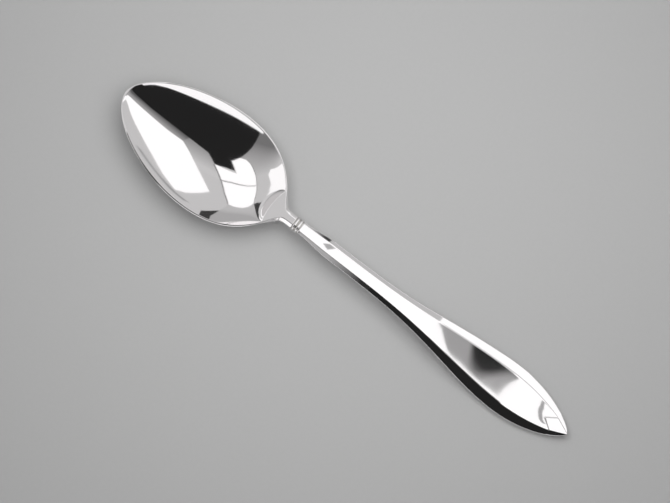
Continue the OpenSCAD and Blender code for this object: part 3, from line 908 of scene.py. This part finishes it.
# Cards of the studio: name, height in mm, level, corners in mm along and across the spoon.
# A level may run from one spot to another, each given as level, along, across.
CARDS = (
    ("right_box", 600, 1.15, (
        (36, 102), (-16, 190), (-103, 366), (-282, 708), (-279, 1299), (-276, 2159), (-210, 3628),
        (124, 2504), (268, 1554), (375, 1093), (471, 791), (538, 512), (743, 185), (268, 148),
        (119, 134))),
    ("left_box", 600, 1.15, (
        (-151, 72), (-288, -21), (-212, -150), (-248, -293), (-296, -336), (-341, -316),
        (-393, -247), (-580, -72), (-817, 105), (-1054, 299), (-936, 445), (-820, 596), (-657, 686),
        (-510, 698), (-351, 443), (-252, 246))),
    ("box_bar", 598, 0.42, (
        (-252, 250), (-311, 166), (-394, 95), (-623, -16), (-610, -31), (-382, 80), (-300, 151),
        (-243, 231))),
    ("box_side", 599, 0.24, (
        (-152, 78), (-252, 246), (-351, 443), (-510, 698), (-495, 710), (-339, 452), (-242, 254),
        (-143, 85))),
    ("box_back", 599, 0.24, (
        (-341, -316), (-393, -247), (-580, -72), (-817, 105), (-1054, 299), (-1070, 286),
        (-830, 95), (-591, -81), (-403, -254), (-349, -323))),
    ("left_panel", 600, 1.1, (
        (-756, -418), (-811, -633), (-2601, -2338), (-11949, -10698), (-22454, 2794),
        (-19647, 2440), (-5083, 500), (-3559, 420), (-1930, 172), (-1278, -15), (-1099, -100))),
    ("grey_panel", 604, ((0.186, -411, -1001), (0.593, -869, -615)), (
        (-248, -293), (-489, -1535), (-4430, -13842), (-11949, -10698), (-1342, 96), (-580, -72))),
    ("low_strip", 590, 1.1, (
        (-554, -1648), (-348, -1511), (-70, -1378), (216, -1178), (493, -1014), (604, -873),
        (621, -733), (606, -567), (10653, -9449), (5186, -21310), (-5517, -15702))),
    ("sweep", 600, ((0.54, -826, 880), (0.43, -1226, 1280)), (
        (-1147, 303), (-936, 445), (-820, 596), (-657, 686), (-510, 698), (-712, 1489),
        (-1502, 3971), (-5885, 15696), (-19647, 2445), (-5083, 502))),
    ("left_gap", 599, 0.05, (
        (-1090, 312), (-1310, 375), (-1560, 435), (-1800, 470), (-2600, 570), (-3600, 640),
        (-3500, 360), (-2100, 295), (-1344, 268))),
    ("right_gap", 599, 0.05, (
        (-712, 1489), (-1502, 3971), (-5885, 15696), (-4394, 16223), (-1057, 3803), (-725, 1619))),
    ("near_band", 600, 0.36, (
        (600, 2700), (240, 3700), (-300, 4300), (-700, 3900), (-700, 5500), (-200, 6200),
        (300, 5000), (900, 3400))),
    ("shade", 604, ((0.1, 200, -27), (0.392, 200, 118)), (
        (23, -29), (379, -50), (600, -85), (1500, -200), (1500, 340), (968, 221), (268, 148),
        (119, 134), (36, 102))),
    ("middle", 604, ((0.229, 111, -23), (0.617, -94, 267)), (
        (-88, -25), (23, -29), (36, 102), (-16, 190), (-103, 365), (-252, 246), (-151, 72))),
    ("flag", 595, 0.017, (
        (-88, -25), (-150, 74), (-213, -1), (-266, -42), (-212, -150), (-248, -293), (-489, -1535),
        (-499, -2289), (1000, -1600), (2500, -1500), (1500, -200), (600, -85), (379, -50),
        (262, -22), (23, -29))),
    ("stem_card", 40, 1.15, ((-25.5, -4), (-25.5, 12), (44, 13), (44, -4))),
    ("stem_patch", 39, 0.45, ((-13.5, 3.9), (-10.7, 3), (-8.3, 5.3), (-11.2, 5.3))),
    ("flare_card", 60, 1.15, (
        (38, -4), (38, 20), (95, 20), (95, 11.2), (84, 11.1), (82, 10.9), (79.5, 10.5),
        (75.9, 10.6), (71.9, 10.2), (67.9, 9.4), (60.2, 6.9), (53.3, 4.7), (47.8, 3.7), (45, -4))),
    ("leaf_card", 61, ((0.376, 78.84, 4.85), (0.022, 80.6, 3.74)), (
        (30, -20), (30, 25), (90, 25), (90, -20))),
    ("leaf_end", 40, 1.15, (
        (78.9, -20), (78.9, 3.5), (78.4, 3.8), (77.75, 4), (77.15, 4.3), (77.1, 4.5), (77.05, 4.9),
        (77, 5.1), (76.95, 5.4), (76.95, 25), (112, 25), (112, -20))),
    ("end_bar", 39, 0.4, (
        (91.5, 0), (92.7, 0), (94.9, 1.8), (96.3, 4.9), (97.1, 9.5), (96.2, 9.5), (95.2, 5.1),
        (93.8, 2.3))),
    ("leaf_crease", 42, 0.1, ((46, 28), (46, 56), (130, 56), (130, 28))),
    ("leaf_bevel", 40, 1.15, ((40.6, 60), (40.6, 100), (140, 105), (140, 60))),
    ("bevel_card", 40, 0.54, ((-34, 60), (-34, 84), (40.6, 84), (40.6, 60))),
    ("bevel_dark", 39, ((0.5, -26, 70), (0.05, -20, 70)), (
        (-27, 60), (-27, 84), (-17, 84), (-17, 60))),
    ("root_card", 20, ((0.43, -8, -17), (0.03, 8, -17)), (
        (-22, -26), (-22, -9), (12, -9), (12, -26))),
    ("neck_card", 20, 1.1, ((-38, -60), (-38, -20), (-22.5, -20), (-22.5, -60))),
    ("heel_card", 15, 0.61, ((-37.5, -9), (-37.5, 10), (-24, 6), (-24, -4))),
    ("tip_card", 22, 0.64, ((-95, -20), (-95, 15), (-170, 15), (-170, -20))),
)


def card(name, height, level, corners):
    """A flat card over the table that only shows in reflections."""
    mesh = bpy.data.meshes.new(name)
    mesh.from_pydata([(x * MM, y * MM, height * MM) for x, y in corners], [],
                     [list(range(len(corners)))])
    material = bpy.data.materials.new(name)
    material.use_nodes = True
    nodes = Nodes(material.node_tree)
    nodes.tree.nodes.clear()
    if isinstance(level, tuple):
        level = level_run(nodes, *level)
    glow = nodes.out("ShaderNodeEmission", {"Strength": level})
    nodes.node("ShaderNodeOutputMaterial", {"Surface": glow})
    mesh.materials.append(material)
    plate = add_object(name, mesh)
    plate.visible_camera = plate.visible_diffuse = plate.visible_shadow = False


def level_run(nodes, first, last):
    """A level that runs straight from one spot of a card to another."""
    start, end = Vector(first[1:] + (0,)) * MM, Vector(last[1:] + (0,)) * MM
    run = (end - start) / (end - start).length_squared
    place = nodes.out("ShaderNodeTexCoord", output="Object")
    along = nodes.out("ShaderNodeVectorMath", {0: place, 1: run}, "Value",
                      operation="DOT_PRODUCT")
    return nodes.out("ShaderNodeMapRange", {
        "Value": along, "From Min": start.dot(run), "From Max": start.dot(run) + 1.0,
        "To Min": first[0], "To Max": last[0]}, "Result")


class SPOON_OT_studio(Operator):
    """Sets up the camera, the floor, the soft boxes and the light"""
    bl_idname = "spoon.studio"
    bl_label = "Studio"

    def execute(self, context):
        studio, scene = context.scene.spoon_studio, context.scene
        scene.camera = self.camera(studio)
        for row in CARDS:
            card(*row)
        self.floor(studio)
        self.light(studio)
        scene.world = self.surroundings()
        scene.view_settings.view_transform = "Standard"
        return {"FINISHED"}

    def camera(self, studio):
        a, e = studio.azimuth, studio.elevation
        towards = Vector((math.sin(a) * math.cos(e), -math.cos(a) * math.cos(e), math.sin(e)))
        lens = bpy.data.cameras.new("camera")
        lens.lens = studio.lens
        lens.sensor_width = SENSOR_WIDTH
        lens.clip_start = CLIP_START
        camera = add_object("camera", lens)
        camera.location = Vector(studio.target) + towards * studio.distance
        camera.rotation_euler = (-towards).to_track_quat("-Z", "Y").to_euler()
        return camera

    def floor(self, studio):
        r = FLOOR_REACH
        mesh = bpy.data.meshes.new("floor")
        mesh.from_pydata([(-r, -r, 0), (r, -r, 0), (r, r, 0), (-r, r, 0)], [], [(0, 1, 2, 3)])
        look = Look("floor_paper")
        grain = look.noise(scale=700.0, detail=4.0)
        tone = look.blend(grain, toned(studio.floor, 1 - FLOOR_SPREAD),
                          toned(studio.floor, 1 + FLOOR_SPREAD))
        look.set(base_color=tone, roughness=0.9 + 0.05 * grain)
        mesh.materials.append(look.material)
        plate = add_object("floor", mesh)
        plate.location.z = -FLOOR_DROP

    def light(self, studio):
        """One soft lamp, a little right of the spoon's middle and above it in the picture."""
        a = studio.azimuth
        right = Vector((math.cos(a), math.sin(a), 0.0))
        up = Vector((-math.sin(a), math.cos(a), 0.0))
        lamp = bpy.data.lights.new("soft_light", "AREA")
        lamp.shape = "DISK"
        lamp.size = LAMP_SIZE
        lamp.energy = LAMP_ENERGY
        lit = add_object("soft_light", lamp)
        lit.location = right * LAMP_RIGHT + up * LAMP_UP + Vector((0, 0, LAMP_HEIGHT))
        lit.rotation_euler = (-lit.location).to_track_quat("-Z", "Y").to_euler()
        lit.visible_glossy = False

    def surroundings(self):
        """Soft light all round, which camera and metal see as a paler tone."""
        world = bpy.data.worlds.new("studio")
        world.use_nodes = True
        nodes = Nodes(world.node_tree)
        nodes.tree.nodes.clear()
        soft, pale = (nodes.out("ShaderNodeBackground", {"Color": (level, level, level, 1.0)})
                      for level in (SOFT_LEVEL, PALE_LEVEL))
        path = nodes.node("ShaderNodeLightPath").outputs
        seen = nodes.out("ShaderNodeMath", {0: path["Is Camera Ray"], 1: path["Is Glossy Ray"]},
                         operation="MAXIMUM")
        choice = nodes.out("ShaderNodeMixShader", {0: seen, 1: soft, 2: pale})
        nodes.node("ShaderNodeOutputWorld", {"Surface": choice})
        return world


# The sidebar, and what is registered

class SPOON_PT_panel(Panel):
    """Lists the spoon's pieces and sizes in the sidebar"""
    bl_idname = "SPOON_PT_panel"
    bl_label = "Soup Spoon"
    bl_space_type = "VIEW_3D"
    bl_region_type = "UI"
    bl_category = "Soup Spoon"

    def draw(self, context):
        for key, (group, operator) in GROUPS.items():
            box = self.layout.box()
            box.operator(operator.bl_idname)
            for setting in group.__annotations__:
                box.prop(getattr(context.scene, key), setting)


GROUPS = {
    "spoon_bowl": (SpoonBowlSizes, SPOON_OT_bowl),
    "spoon_collar": (SpoonCollarSizes, SPOON_OT_collar),
    "spoon_handle": (SpoonHandleSizes, SPOON_OT_handle),
    "spoon_finish": (SpoonFinish, SPOON_OT_filler),
    "spoon_studio": (SpoonStudio, SPOON_OT_studio),
}
CLASSES = [item for pair in GROUPS.values() for item in pair] + [SPOON_PT_panel]


def register():
    for item in CLASSES:
        bpy.utils.register_class(item)
    for key, (group, _) in GROUPS.items():
        setattr(bpy.types.Scene, key, PointerProperty(type=group))


def unregister():
    for key in GROUPS:
        delattr(bpy.types.Scene, key)
    for item in reversed(CLASSES):
        bpy.utils.unregister_class(item)


def main():
    register()
    bpy.ops.spoon.bowl()
    bpy.ops.spoon.collar()
    bpy.ops.spoon.handle()
    bpy.ops.spoon.filler()
    bpy.ops.spoon.studio()


if __name__ == "__main__":
    main()
